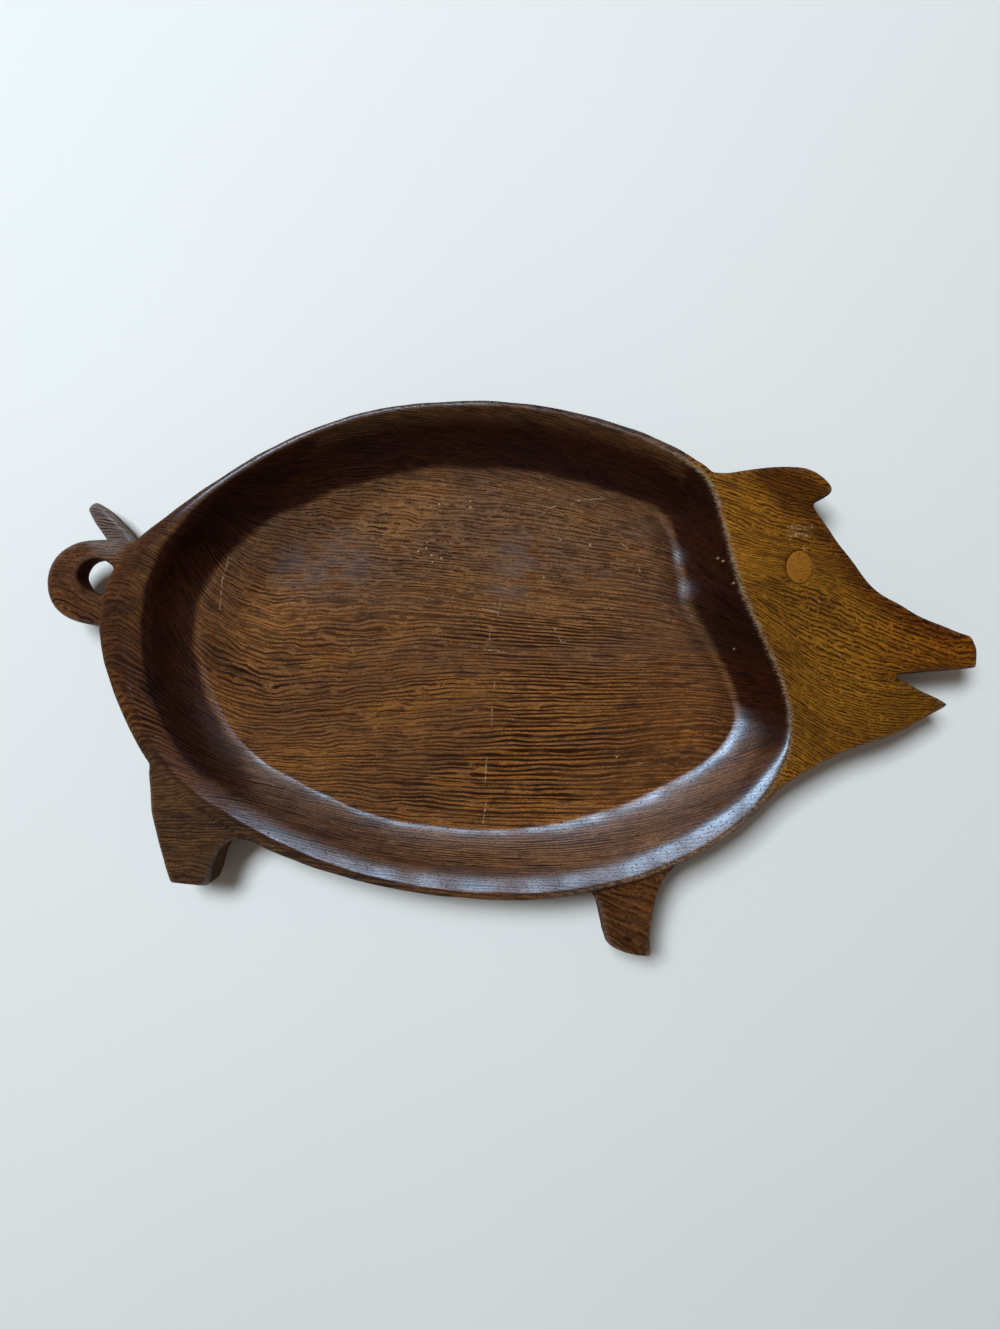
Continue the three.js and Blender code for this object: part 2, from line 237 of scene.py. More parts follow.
def crest_radii(tree):
    """How far the crest is from the basin's centre, in evenly spaced directions."""
    top = Vector((0, 0, CAD_BOX[1].z + ABOVE_ALL))
    down = Vector((0, 0, -1))
    radii = []
    for i in range(CREST_DIRECTIONS):
        angle = 2 * math.pi * i / CREST_DIRECTIONS
        way = Vector((math.cos(angle), math.sin(angle), 0))
        highest, radius, distance = FLOOR_LEVEL, 0, CREST_START
        while distance < CREST_REACH:
            place = tree.ray_cast(BASIN_CENTRE + way * distance + top, down)[0]
            if place is None or (radius and place.z < highest - CREST_FALL):
                break
            if place.z > highest:
                highest, radius = place.z, distance
            distance += CREST_STEP
        radii.append(radius)
    return np.array(radii)


def inside_crest(points, radii):
    """Distance of each point inside the crest, negative outside it, towards the basin's centre."""
    across = points[:, 0] - BASIN_CENTRE.x
    along = points[:, 1] - BASIN_CENTRE.y
    angle = np.mod(np.arctan2(along, across), 2 * math.pi)
    directions = np.linspace(0, 2 * math.pi, CREST_DIRECTIONS + 1)
    crest = np.interp(angle, directions, np.append(radii, radii[0]))
    return crest - np.hypot(across, along)


def bending(mesh, rounds):
    """How strongly the surface bends at each vertex, per millimetre, outward bends positive."""
    points = vectors(mesh.vertices, "co")
    normals = vectors(mesh.vertices, "normal")
    ends = np.empty(len(mesh.edges) * 2, np.int32)
    mesh.edges.foreach_get("vertices", ends)
    a, b = ends.reshape(-1, 2).T
    step = points[b] - points[a]
    square = np.maximum((step ** 2).sum(1), SHORTEST_EDGE ** 2)
    count = len(points)
    total = np.bincount(a, -2 * (normals[a] * step).sum(1) / square, count)
    total += np.bincount(b, 2 * (normals[b] * step).sum(1) / square, count)
    degree = np.bincount(a, minlength=count) + np.bincount(b, minlength=count)
    bend = total / np.maximum(degree, 1) * MM
    for _ in range(rounds):
        spread = np.bincount(a, bend[b], count) + np.bincount(b, bend[a], count)
        bend = (bend + spread) / (degree + 1)
    return bend


def grain_level(x, y, lines, marks):
    """Which line of the grain runs through each point, by the marks that the lines carry."""
    shifts = np.linspace(-GRAIN_EASE, GRAIN_EASE, EASE_STEPS)
    heights = []
    for line in lines:
        along, across = np.array(line, float).T
        heights.append(np.mean([np.interp(x + shift, along, across) for shift in shifts], axis=0))
    level = marks[0] + np.minimum(0, y - heights[0]) + np.maximum(0, y - heights[-1])
    for i in range(len(lines) - 1):
        share = (y - heights[i]) / (heights[i + 1] - heights[i])
        level += np.clip(share, 0, 1) * (marks[i + 1] - marks[i])
    return level


def grain(points, inside):
    """The grain's level and the head's share at each point; the layers dip under the dish."""
    x, y, z = points.T / MM
    head = ramp(x, *HEAD_FROM_X) * ramp(-inside, *HEAD_PAST_CREST)
    head *= ramp(y - (x - LEG_LINE_X) * LEG_LINE_SLOPE, *HEAD_ABOVE_LEG)
    dish_marks, head_marks = ([np.mean([across for _, across in line]) for line in lines]
                              for lines in (DISH_GRAIN, HEAD_GRAIN))
    join_x, join_y = np.array([HEAD_GRAIN[-1][0]], float).T   # where the two run on into each other
    shift = grain_level(join_x, join_y, DISH_GRAIN, dish_marks) - head_marks[-1]
    level = grain_level(x, y, DISH_GRAIN, dish_marks) * (1 - head)
    level += (grain_level(x, y, HEAD_GRAIN, head_marks) + shift) * head
    middle = np.interp(-x, np.negative(LAYER_MIDDLE_X), LAYER_MIDDLE)
    side = np.tanh((y - middle) / LAYER_TURN) * (1 - head) + head
    return level + (z - FLOOR_LEVEL / MM) * LAYER_SLOPE * side, head


# The body: the frame's solid, refined


def pocket_column(stretch, foot, top, name):
    """The eye plug's own outline as an upright column, scaled about its middle."""
    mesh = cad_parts["eye_plug"].data.copy()
    low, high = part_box("eye_plug")
    middle = (low + high) / 2
    for vertex in mesh.vertices:
        upper = vertex.co.z > middle.z
        for axis in (0, 1):
            offset = vertex.co[axis] - middle[axis]
            vertex.co[axis] = middle[axis] + offset * stretch
        vertex.co.z += top if upper else foot
    return new_piece(name, mesh)


def add_modifier(piece, kind, **settings):
    modifier = piece.modifiers.new(kind, kind)
    for name, value in settings.items():
        setattr(modifier, name, value)
    return modifier


def filled_body():
    """The frame's body with its eye pocket closed again, before it is remeshed."""
    fill = pocket_column(FILL_STRETCH, -FILL_FOOT, -EYE_PROUD, "fill")
    shape = bmesh.new()
    shape.from_mesh(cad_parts["tray_body"].data)
    shape.from_mesh(fill.data)
    mesh = bpy.data.meshes.new("tray")
    shape.to_mesh(mesh)
    shape.free()
    bpy.data.objects.remove(fill)
    return new_piece("tray", mesh)


def carve(mesh):
    """Long shallow waves along the surface, as edge tools and sanding leave them."""
    points = vectors(mesh.vertices, "co")
    normals = vectors(mesh.vertices, "normal")
    random = np.random.default_rng(WOBBLE_SEED)
    push = np.zeros(len(points))
    for _ in range(WOBBLE_WAVES):
        way = random.normal(size=3)
        way /= np.linalg.norm(way)
        length = random.uniform(*WOBBLE_LENGTHS)
        push += np.sin(points @ way * (2 * math.pi / length) + random.uniform(0, 2 * math.pi))
    push *= WOBBLE / math.sqrt(WOBBLE_WAVES)
    push *= ramp(points[:, 2], FLAT_BASE, FULL_WOBBLE - FLAT_BASE)
    points += normals * push[:, None]
    low, high = (np.array(corner) for corner in CAD_BOX)
    points = np.clip(points, low + BOX_GAP, high - BOX_GAP)
    mesh.vertices.foreach_set("co", points.astype(np.float32).ravel())
    mesh.update()


def soften(piece):
    """Smooths facets and edges away, and keeps each point near its first place."""
    first = vectors(piece.data.vertices, "co")
    add_modifier(piece, "SMOOTH", factor=SMOOTHING_FACTOR, iterations=SMOOTHING)
    apply_modifiers(piece)
    moves = vectors(piece.data.vertices, "co") - first
    lengths = np.maximum(np.linalg.norm(moves, axis=1), 1e-9)
    points = first + moves * np.minimum(1, SMOOTHING_REACH / lengths)[:, None]
    piece.data.vertices.foreach_set("co", points.astype(np.float32).ravel())
    add_modifier(piece, "SMOOTH", factor=SMOOTHING_FACTOR, iterations=LAST_SMOOTHING)
    apply_modifiers(piece)


def tray():
    """The frame's body remeshed, softened and carved, with its pocket cut anew and its measures."""
    piece = filled_body()
    add_modifier(piece, "REMESH", mode="VOXEL", voxel_size=VOXEL)
    apply_modifiers(piece)
    soften(piece)
    carve(piece.data)
    faces = sum(len(face.vertices) - 2 for face in piece.data.polygons)
    add_modifier(piece, "DECIMATE", ratio=min(1.0, BODY_FACES / faces))
    apply_modifiers(piece)
    low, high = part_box("eye_plug")
    stretch = 1 + CAD_GAP * 2 / (high.x - low.x)
    cutter = pocket_column(stretch, 0, CUTTER_TOP, "cutter")
    add_modifier(piece, "BOOLEAN", object=cutter, operation="DIFFERENCE", solver="EXACT")
    apply_modifiers(piece)
    bpy.data.objects.remove(cutter)
    mesh = piece.data
    mesh.shade_smooth()
    mesh.set_sharp_from_angle(angle=BODY_SHARP)
    tree = BVHTree.FromObject(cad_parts["tray_body"], bpy.context.evaluated_depsgraph_get())
    points = vectors(mesh.vertices, "co")
    facing = vectors(mesh.vertices, "normal")[:, 2]
    inside = inside_crest(points, crest_radii(tree)) / MM
    inside = np.where(facing > FACING_DOWN, inside, FAR_OUTSIDE)
    store(mesh, "inside_crest", inside)
    store(mesh, "bending", bending(mesh, BENDING_ROUNDS))
    level, head = grain(points, inside)
    store(mesh, "grain_level", level)
    store(mesh, "head_share", head)
    return piece


def eye():
    """The plug with a softened edge and a low crown."""
    low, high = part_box("eye_plug")
    stretch = 1 + (CAD_GAP - JOINT_GAP) * 2 / (high.x - low.x)
    piece = pocket_column(stretch, 0, 0, "eye_inlay")
    shape = bmesh.new()
    shape.from_mesh(piece.data)
    bmesh.ops.remove_doubles(shape, verts=shape.verts, dist=PLUG_WELD)
    flat = [edge for edge in shape.edges if edge.is_manifold and edge.calc_face_angle(0) < PLUG_FLAT]
    bmesh.ops.dissolve_edges(shape, edges=flat)
    upper = max(shape.faces, key=lambda face: face.calc_center_median().z)
    bmesh.ops.bevel(shape, geom=list(upper.edges), offset=PLUG_ROUND, segments=PLUG_STEPS,
                    profile=0.5, affect="EDGES")
    upper = max(shape.faces, key=lambda face: face.calc_area() * (face.normal.z > 0.5))
    middle = upper.calc_center_median()
    hub = bmesh.ops.poke(shape, faces=[upper])["verts"][0]
    bmesh.ops.subdivide_edges(shape, edges=list(hub.link_edges), cuts=PLUG_STEPS)
    reach = (high.x - low.x) / 2
    for vertex in shape.verts:
        if vertex.co.z > (low.z + high.z) / 2:
            away = (vertex.co - middle).length / reach
            vertex.co.z += PLUG_CROWN * max(0.0, 1 - away ** 2)
    shape.to_mesh(piece.data)
    shape.free()
    piece.data.shade_smooth()
    piece.data.set_sharp_from_angle(angle=PLUG_SHARP)
    return piece


# Colours


# The ground between the lines, where its patches are dull and where they are warm
UPPER_GROUND = (srgb(117, 80, 54), srgb(138, 90, 50))
LOWER_GROUND = (srgb(120, 74, 38), srgb(152, 92, 40))
HEAD_GROUND = (srgb(124, 74, 14), srgb(150, 92, 20))
EYE_GROUND = (srgb(132, 75, 5), srgb(146, 87, 8))

# Spots and lines, on the dish and on the head
DARK_MOTTLE = (srgb(70, 44, 26), srgb(76, 46, 8))
LIGHT_MOTTLE = (srgb(124, 68, 22), srgb(136, 86, 14))
LINES = (srgb(38, 16, 4), srgb(48, 24, 2))

# Others
FIBRES = srgb(60, 34, 14)
EYE_DOTS = srgb(88, 50, 12)
FLOOR_REFLECTION = srgb(96, 84, 82)            # painted reflection of the lamp, a bluish-grey haze on the floor
TIP_GLARE = srgb(112, 98, 90)        # painted glare on the tail's tip
RUBBED = srgb(138, 116, 92)
SCUFFED = srgb(146, 124, 98)
SCRATCHED = srgb(186, 156, 116)
FLOOR_COLOURS = ((0.71, 0.63, 0.55, 1.0), (0.75, 0.67, 0.59, 1.0))

# Tints, which multiply the colour
EAR_FOOT_TINT = (1.75, 1.7, 1.6, 1.0)
SNOUT_TINT = (0.92, 0.72, 0.5, 1.0)
# painted shade along the forehead's rounded edge
BROW_SHADE_TINT = (0.56, 0.45, 0.42, 1.0)
# oil soaked into the steep walls, with painted shade on them, most on the back wall, which faces away
# from the light
SOAK_AND_SHADE_TINT = (0.11, 0.035, 0.015, 1.0)
# painted shade on the floor's edge away from the belly, widest by the tail
FLOOR_SHADE_TINT = (0.42, 0.38, 0.36, 1.0)
# painted sheen: the belly's wall lighter and bluer, as where it mirrors the lamp
BELLY_SHEEN_TINT = (1.35, 1.7, 3.2, 1.0)
OUTSIDE_TINT = (0.62, 0.58, 0.60, 1.0)
REAR_LEG_TINT = (0.46, 0.56, 0.90, 1.0)
FLOOR_END_TINT = (0.86, 0.82, 0.9, 1.0)
HANDLED_TINT = (0.62, 0.55, 0.52, 1.0)


# Materials


class Nodes:
    """A material's node tree, with short calls for the nodes that the wood needs."""

    def __init__(self, name):
        self.material = bpy.data.materials.new(name)
        self.material.use_nodes = True
        self.tree = self.material.node_tree
        self.shader = self.tree.nodes["Principled BSDF"]

    def node(self, kind, inputs=(), **settings):
        made = self.tree.nodes.new(kind)
        for key, value in settings.items():
            setattr(made, key, value)
        for key, value in dict(inputs).items():
            self.put(made.inputs[key], value)
        return made

    def put(self, socket, value):
        if isinstance(value, bpy.types.NodeSocket):
            self.tree.links.new(value, socket)
        else:
            socket.default_value = value

    def maths(self, operation, a, b=0.0, c=0.0):
        return self.node("ShaderNodeMath", {0: a, 1: b, 2: c}, operation=operation).outputs[0]

    def plus(self, a, b):
        return self.maths("ADD", a, b)

    def minus(self, a, b):
        return self.maths("SUBTRACT", a, b)

    def times(self, a, b):
        return self.maths("MULTIPLY", a, b)

    def larger(self, a, b):
        return self.maths("MAXIMUM", a, b)

    def smaller(self, a, b):
        return self.maths("MINIMUM", a, b)

    def rest(self, share):
        """What is left of the whole beside a share."""
        return self.minus(1.0, share)

    def swing(self, noise, size):
        """Noise moved to swing to both sides of zero, by up to half the size."""
        return self.times(self.minus(noise, 0.5), size)

    def fade(self, value, low, high, start=0.0, end=1.0):
        """start where value is low and below, end where it is high and above, smooth between."""
        made = self.node("ShaderNodeMapRange", {"Value": value, "From Min": low, "From Max": high,
                                                "To Min": start, "To Max": end},
                         interpolation_type="SMOOTHSTEP")
        return made.outputs["Result"]

    def vector_maths(self, operation, a, b):
        return self.node("ShaderNodeVectorMath", {0: a, 1: b}, operation=operation)

    def far(self, place, start, end=None):
        """Distance of a place from a point, or from the stretch between two points."""
        start = Vector((*start, 0))
        if end is None:
            return self.vector_maths("DISTANCE", place, start).outputs["Value"]
        run = Vector((*end, 0)) - start
        offset = self.vector_maths("SUBTRACT", place, start).outputs["Vector"]
        along = self.vector_maths("DOT_PRODUCT", offset, run / run.length_squared)
        share = self.node("ShaderNodeClamp", {"Value": along.outputs["Value"]}).outputs[0]
        reached = self.node("ShaderNodeVectorMath", {0: run, "Scale": share}, operation="SCALE")
        return self.vector_maths("DISTANCE", offset, reached.outputs["Vector"]).outputs["Value"]

    def split(self, vector):
        return self.node("ShaderNodeSeparateXYZ", {0: vector}).outputs

    def vector(self, x, y, z=0.0):
        return self.node("ShaderNodeCombineXYZ", {0: x, 1: y, 2: z}).outputs[0]

    def noise(self, vector, scale, detail, roughness):
        made = self.node("ShaderNodeTexNoise", {"Vector": vector, "Scale": scale,
                                                "Detail": detail, "Roughness": roughness})
        return made.outputs["Fac"]

    def clouds(self, coordinates, scales, detail, roughness):
        """Noise that is stretched, with a scale of its own for each coordinate."""
        scaled = [self.times(value, scale) for value, scale in zip(coordinates, scales)]
        return self.noise(self.vector(*scaled), 1.0, detail, roughness)

    def attribute(self, name):
        return self.node("ShaderNodeAttribute", attribute_name=name).outputs["Fac"]

    def mix(self, share, first, second):
        made = self.node("ShaderNodeMix", {0: share, 6: first, 7: second}, data_type="RGBA")
        return made.outputs[2]

    def tint(self, share, colour, by):
        """The colour multiplied by another, by a share."""
        made = self.node("ShaderNodeMix", {0: share, 6: colour, 7: by}, data_type="RGBA",
                         blend_type="MULTIPLY")
        return made.outputs[2]

    def lerp(self, share, first, second):
        made = self.node("ShaderNodeMix", {0: share, 2: first, 3: second}, data_type="FLOAT")
        return made.outputs[0]

    def millimetres(self):
        place = self.node("ShaderNodeTexCoord").outputs["Object"]
        made = self.node("ShaderNodeVectorMath", {0: place, "Scale": 1 / MM}, operation="SCALE")
        return made.outputs[0]

    def bump(self, height, strength, distance):
        made = self.node("ShaderNodeBump", {"Height": height, "Strength": strength,
                                            "Distance": distance})
        return made.outputs[0]

    def shade(self, values):
        """Gives the shader's sockets their values: numbers, colours or other nodes' results."""
        for name, value in values.items():
            self.put(self.shader.inputs[name], value)


# Noises: the scales along the grain, across it and upwards, per millimetre, then detail and roughness
RIPPLE = ((0.060, 0.08), 2.0, 0.45)
SHAKE = ((0.16, 0.30), 2.0, 0.5)
DRIFT = ((0.030, 0.25), 1.0, 0.5)
BANDS = ((0.012, 0.07, 0.05), 2.0, 0.5)
DEPTH = ((0.02, 0.06, 0.04), 3.0, 0.6)
PATCHES = ((0.014, 0.035, 0.03), 3.0, 0.55)
MOTTLE = ((0.07, 0.17, 0.1), 3.0, 0.6)
FIBRE = ((0.22, 2.4, 0.9), 2.0, 0.6)
PORES = ((0.9, 1.6, 1.6), 1.0, 0.5)
TICKS = ((0.5, 1.3, 0.5), 3.0, 0.7)

# Rows of strokes; the tuples below that go to fade() are its low and high, and its start and end
ROW_DRIFT = 1.5                     # how far rows wander, in rows
ROW_CHANGE = 7.31                   # a jump in the noise from row to row
STROKE_NOISE = (1.0, 3.0, 0.6)
TAPER = 0.13                        # how soon a stroke has its full width; it is darkest twice as late
UNSEEN_WIDTH = -0.08
FAINT_STROKE = 0.75
STROKE_EDGE = (-0.05, 0.10)


def rows(n, level, period, along, strokes, half_width, cover):
    """Tapering strokes in rows across the grain: 1 on a stroke, 0 between."""
    drift = n.clouds((along, level), *DRIFT)
    turn = n.plus(n.times(level, 1 / period), n.swing(drift, ROW_DRIFT))
    row = n.maths("ROUND", turn)
    off = n.maths("ABSOLUTE", n.minus(turn, row))
    strength = n.noise(n.vector(strokes, n.times(row, ROW_CHANGE)), *STROKE_NOISE)
    half = n.fade(strength, cover, n.plus(cover, TAPER), UNSEEN_WIDTH, half_width)
    deep = n.fade(strength, cover, n.plus(cover, 2 * TAPER), FAINT_STROKE, 1.0)
    return n.times(n.fade(n.minus(half, off), *STROKE_EDGE), deep)


FAR_AWAY = 99.0                     # millimetres, more than any fade reaches


def nearest_to(n, over, lines):
    """Distance of a place from the nearest of some lines."""
    nearest = FAR_AWAY
    for line in lines:
        for start, end in zip(line, line[1:]):
            nearest = n.smaller(nearest, n.far(over, start, end))
    return nearest


WEAR_NOISE = (0.8, 3.0, 0.7)
SCRATCH_EDGE = (0.55, 0.1)          # distance in millimetres
SCRATCH_GAPS = (0.44, 0.66, 0.05, 0.85)
REPAIR_HALF = 0.7                   # half of a bar's width less that of a scratch
SPECK_EDGE = (1.9, 1.3)
SPECK_RAGGED = 2.4


def marks(n, at):
    """Scratches, bars of filler and specks: how clearly a place is marked."""
    filled = n.minus(nearest_to(n, at.over, REPAIRS), REPAIR_HALF)
    nearest = n.smaller(nearest_to(n, at.over, SCRATCHES), filled)
    broken = n.noise(at.place, *WEAR_NOISE)
    scratched = n.times(n.fade(nearest, *SCRATCH_EDGE), n.fade(broken, *SCRATCH_GAPS))
    nearest = FAR_AWAY
    for speck in SPECKS:
        nearest = n.smaller(nearest, n.far(at.over, speck))
    ragged = n.plus(nearest, n.times(broken, SPECK_RAGGED))
    return n.larger(scratched, n.fade(ragged, *SPECK_EDGE))


RIPPLES = (10.0, -90.0, 1.2, 5.0)   # x from which and to which the lines' waves grow, and their sizes
HEAD_RIPPLE = 0.8
HEAD_SHAKE = 2.3


def rippled(n, x, level, head):
    """The grain's level with small waves in its lines, strongest by the tail and on the head."""
    ripple = n.clouds((x, level), *RIPPLE)
    level = n.plus(level, n.swing(ripple, n.lerp(head, n.fade(x, *RIPPLES), HEAD_RIPPLE)))
    return n.plus(level, n.swing(n.clouds((x, level), *SHAKE), n.times(head, HEAD_SHAKE)))


MAIN_PERIOD = 2.1                   # millimetres from row to row
FINE_PERIOD = 1.6
FINE_SHIFT = 0.9
FLOOR_STROKE = 26                   # millimetres of one step of the strokes' noise
TAIL_STROKE = 12
FINE_STROKE = 8
HEAD_STROKE = 7
STROKE_START = 100.0                # x where the noise of the floor and of the head meet
STROKE_SLANT = 1.7                  # how far a stroke shifts along for each millimetre up
EYE_X = 125.0
SNOUT_SHORTENING = 0.14             # more steps of the noise for each millimetre past the eye
TAIL_SIDE = -10.0                   # x beyond which strokes shorten towards the tail
BAND_EDGE = (0.30, 0.62)
COVER = (0.36, 0.28)                # up to this much noise there is no line, in weak and strong bands
HEAD_COVER = 0.07                   # and more of it on the head
MAIN_HALF = (0.16, 0.28)            # half of a line's width in rows, in weak and strong bands
FINE_HALF = 0.22
FINE_COVER = (0.38, 0.34)           # on the dish and on the head
BOLD_SLOPE = 0.3                    # the bold lines' upper limit rises towards the head
BOLD_Y = (62.0, 12.0)
BOLD_X = (35.0, 85.0, 1.0, 0.45)
BOLD_OUTSIDE = 0.4                  # how bold they are on the rim and legs
MAIN_SHARE = (0.4, 1.0)             # where lines aren't bold, and where they are
FINE_SHARE = (0.95, 0.5)
DEPTHS = (0.42, 0.60, 0.80, 1.05)


def vessel_lines(n, at, along_grain):
    """How dark the vessel lines are: shorter on the head, shortest on the snout, bold on the floor."""
    along = n.minus(n.plus(at.x, n.times(at.z, STROKE_SLANT)), STROKE_START)
    past_eye = n.times(n.larger(n.minus(at.x, EYE_X), 0.0), SNOUT_SHORTENING)
    on_head = n.plus(n.times(along, 1 / HEAD_STROKE), past_eye)
    by_tail = n.smaller(n.minus(at.x, TAIL_SIDE), 0.0)
    by_tail = n.times(by_tail, 1 / TAIL_STROKE - 1 / FLOOR_STROKE)
    on_floor = n.plus(n.times(along, 1 / FLOOR_STROKE), by_tail)
    strong = n.fade(n.clouds(along_grain, *BANDS), *BAND_EDGE)
    cover = n.plus(n.lerp(strong, *COVER), n.times(at.head, HEAD_COVER))
    main = rows(n, at.level, MAIN_PERIOD, along, n.lerp(at.head, on_floor, on_head),
                n.lerp(strong, *MAIN_HALF), cover)
    fine = rows(n, n.plus(at.level, FINE_SHIFT), FINE_PERIOD, along,
                n.lerp(at.head, n.times(along, 1 / FINE_STROKE), on_head), FINE_HALF,
                n.lerp(at.head, *FINE_COVER))
    bold = n.fade(n.minus(at.y, n.times(at.x, BOLD_SLOPE)), *BOLD_Y)
    bold = n.times(n.times(bold, n.lerp(at.basin, BOLD_OUTSIDE, 1.0)), at.dish)
    bold = n.times(bold, n.fade(at.x, *BOLD_X))
    dark = n.larger(n.times(main, n.lerp(bold, *MAIN_SHARE)), n.times(fine, n.lerp(bold, *FINE_SHARE)))
    depth = n.fade(n.clouds(along_grain, *DEPTH), *DEPTHS)
    return n.times(dark, n.lerp(at.head, depth, 1.0))


BASIN_EDGE = (-0.5, 0.8)            # millimetres inside the crest
STEEP = (0.993, 0.86)               # how far up a surface faces
RUB_NOISE = (0.35, 3.0, 0.6)


def tray_point(n):
    """What the wood knows of a point of the tray: its place, how it faces, and its mesh's measures."""
    at = SimpleNamespace(place=n.millimetres())
    at.x, at.y, at.z = n.split(at.place)
    at.over = n.vector(at.x, at.y)
    at.side_x, at.side_y, at.upright = n.split(n.node("ShaderNodeTexCoord").outputs["Normal"])
    at.inside = n.attribute("inside_crest")
    at.bend = n.attribute("bending")
    at.head = n.attribute("head_share")
    at.dish = n.rest(at.head)
    at.basin = n.fade(at.inside, *BASIN_EDGE)
    at.steep = n.times(at.basin, n.fade(at.upright, *STEEP))
    at.level = rippled(n, at.x, n.attribute("grain_level"), at.head)
    along_grain = (at.x, at.level, at.z)
    at.patches = n.clouds(along_grain, *PATCHES)
    at.mottle = n.clouds(along_grain, *MOTTLE)
    at.fibre = n.clouds(along_grain, *FIBRE)
    at.pores = n.clouds(along_grain, *PORES)
    at.dark = vessel_lines(n, at, along_grain)
    at.rub = n.noise(at.place, *RUB_NOISE)
    at.scratched = marks(n, at)
    return at


WARM = (0.36, 0.64)
TO_BELLY = (45.0, -20.0)            # y
DARK_SPOTS = (0.52, 0.66, 0.0, 0.6)
PALE_SPOTS = (0.46, 0.34, 0.0, 0.6)
FIBRES_SHOW = (0.25, 0.75, 0.0, 0.5)
PORES_SHOW = (0.54, 0.70, 0.0, 0.6)


def grown(n, at):
    """The wood as it grew: golden ground, mottle, fibres, vessel lines and pores."""
    warm = n.fade(at.patches, *WARM)
    floor = n.mix(n.fade(at.y, *TO_BELLY), n.mix(warm, *UPPER_GROUND), n.mix(warm, *LOWER_GROUND))
    colour = n.mix(at.head, floor, n.mix(warm, *HEAD_GROUND))
    colour = n.mix(n.fade(at.mottle, *DARK_SPOTS), colour, n.mix(at.head, *DARK_MOTTLE))
    colour = n.mix(n.fade(at.mottle, *PALE_SPOTS), colour, n.mix(at.head, *LIGHT_MOTTLE))
    colour = n.mix(n.fade(at.fibre, *FIBRES_SHOW), colour, FIBRES)
    lines = n.mix(at.head, *LINES)
    colour = n.mix(at.dark, colour, lines)
    return n.mix(n.fade(at.pores, *PORES_SHOW), colour, lines)


EAR_FOOT = (104, 86)
EAR_FOOT_FADE = (34.0, 8.0, 0.0, 0.55)
SNOUT_X = (150.0, 215.0)
SNOUT_Y = (18.0, 34.0)
BROW_FADE = (13.0, 2.0)             # distance from the forehead's edge
BROW_RAGGED = 16.0


def head_shades(n, at, colour):
    """The head plate is bright beside the ear, redder at the snout, with painted shade along the
    forehead's rounded edge.
    """
    bright = n.times(n.fade(n.far(at.over, EAR_FOOT), *EAR_FOOT_FADE), at.head)
    colour = n.tint(bright, colour, EAR_FOOT_TINT)
    snout = n.times(n.times(n.fade(at.x, *SNOUT_X), n.fade(at.y, *SNOUT_Y)), at.head)
    colour = n.tint(snout, colour, SNOUT_TINT)
    # painted shade along the forehead's rounded edge
    brow_shade = n.plus(nearest_to(n, at.over, [FOREHEAD]), n.swing(at.patches, BROW_RAGGED))
    return n.tint(n.times(n.fade(brow_shade, *BROW_FADE), at.head), colour, BROW_SHADE_TINT)


# How far a wall faces along the tray or to its back, and what share of the darkening it then takes,
# which is partly soaked oil and partly painted shade
END_GRAIN = (0.12, 0.44)
END_SOAK_AND_SHADE = 0.93
UNDER_JAW_X = (60.0, 90.0)
UNDER_JAW_Y = (-6.0, -34.0)
UNDER_JAW_DARKENING = 0.25
BACK_WALL = (-0.05, -0.42)
BACK_SHADE = (0.45, 0.94)
BELOW_CREST = (1.0, 9.0, 0.45, 1.0)


def soaked_and_shaded(n, at, colour):
    """Darkens the steep walls: partly oil soaked into them, most where they cut across the grain, and
    partly painted shade, most along the back wall, which faces away from the light.
    """
    end_grain = n.fade(n.maths("ABSOLUTE", at.side_x), *END_GRAIN)
    under_jaw = n.times(n.fade(at.x, *UNDER_JAW_X), n.fade(at.y, *UNDER_JAW_Y))
    end_grain = n.times(end_grain, n.lerp(under_jaw, 1.0, UNDER_JAW_DARKENING))
    # painted shade, strongest on the back wall, which faces away from the light
    back = n.lerp(n.fade(at.side_y, *BACK_WALL), *BACK_SHADE)
    back = n.times(back, n.fade(at.inside, *BELOW_CREST))
    most = n.larger(n.times(end_grain, END_SOAK_AND_SHADE), back)
    return n.tint(n.times(at.steep, most), colour, SOAK_AND_SHADE_TINT)


FLOOR_SHADE_REACH = (-50.0, -115.0, 36.0, 62.0)     # painted shade on the floor's edge away from the belly: x, and millimetres from the crest
FLOOR_SHADE_CORE = 0.62                   # the share of its reach where it is full
FLOOR_SHADE_Y = (-50.0, -20.0)
FLOOR_SHADE_LEVEL = (0.93, 0.99)
FLOOR_SHADE_SHARE = 0.75
FLOOR_REFLECTIONS = [                          # painted reflections on the floor: each a line, how far its haze reaches, and how far at its full
    ((-2, 60), (-6, 40), 16.0, 2.0),
    ((-108, 34), (-88, 44), 22.0, 4.0),
]
FLOOR_REFLECTION_SHARE = (0.35, 0.60, 0.04, 0.22)
FLOOR_END_X = (40.0, 80.0)
FLOOR_END_LEVEL = (0.97, 0.995)
BELLY_SHEEN_FACES = (0.1, 0.4)
BELLY_SHEEN_STEEP = (0.93, 0.80)


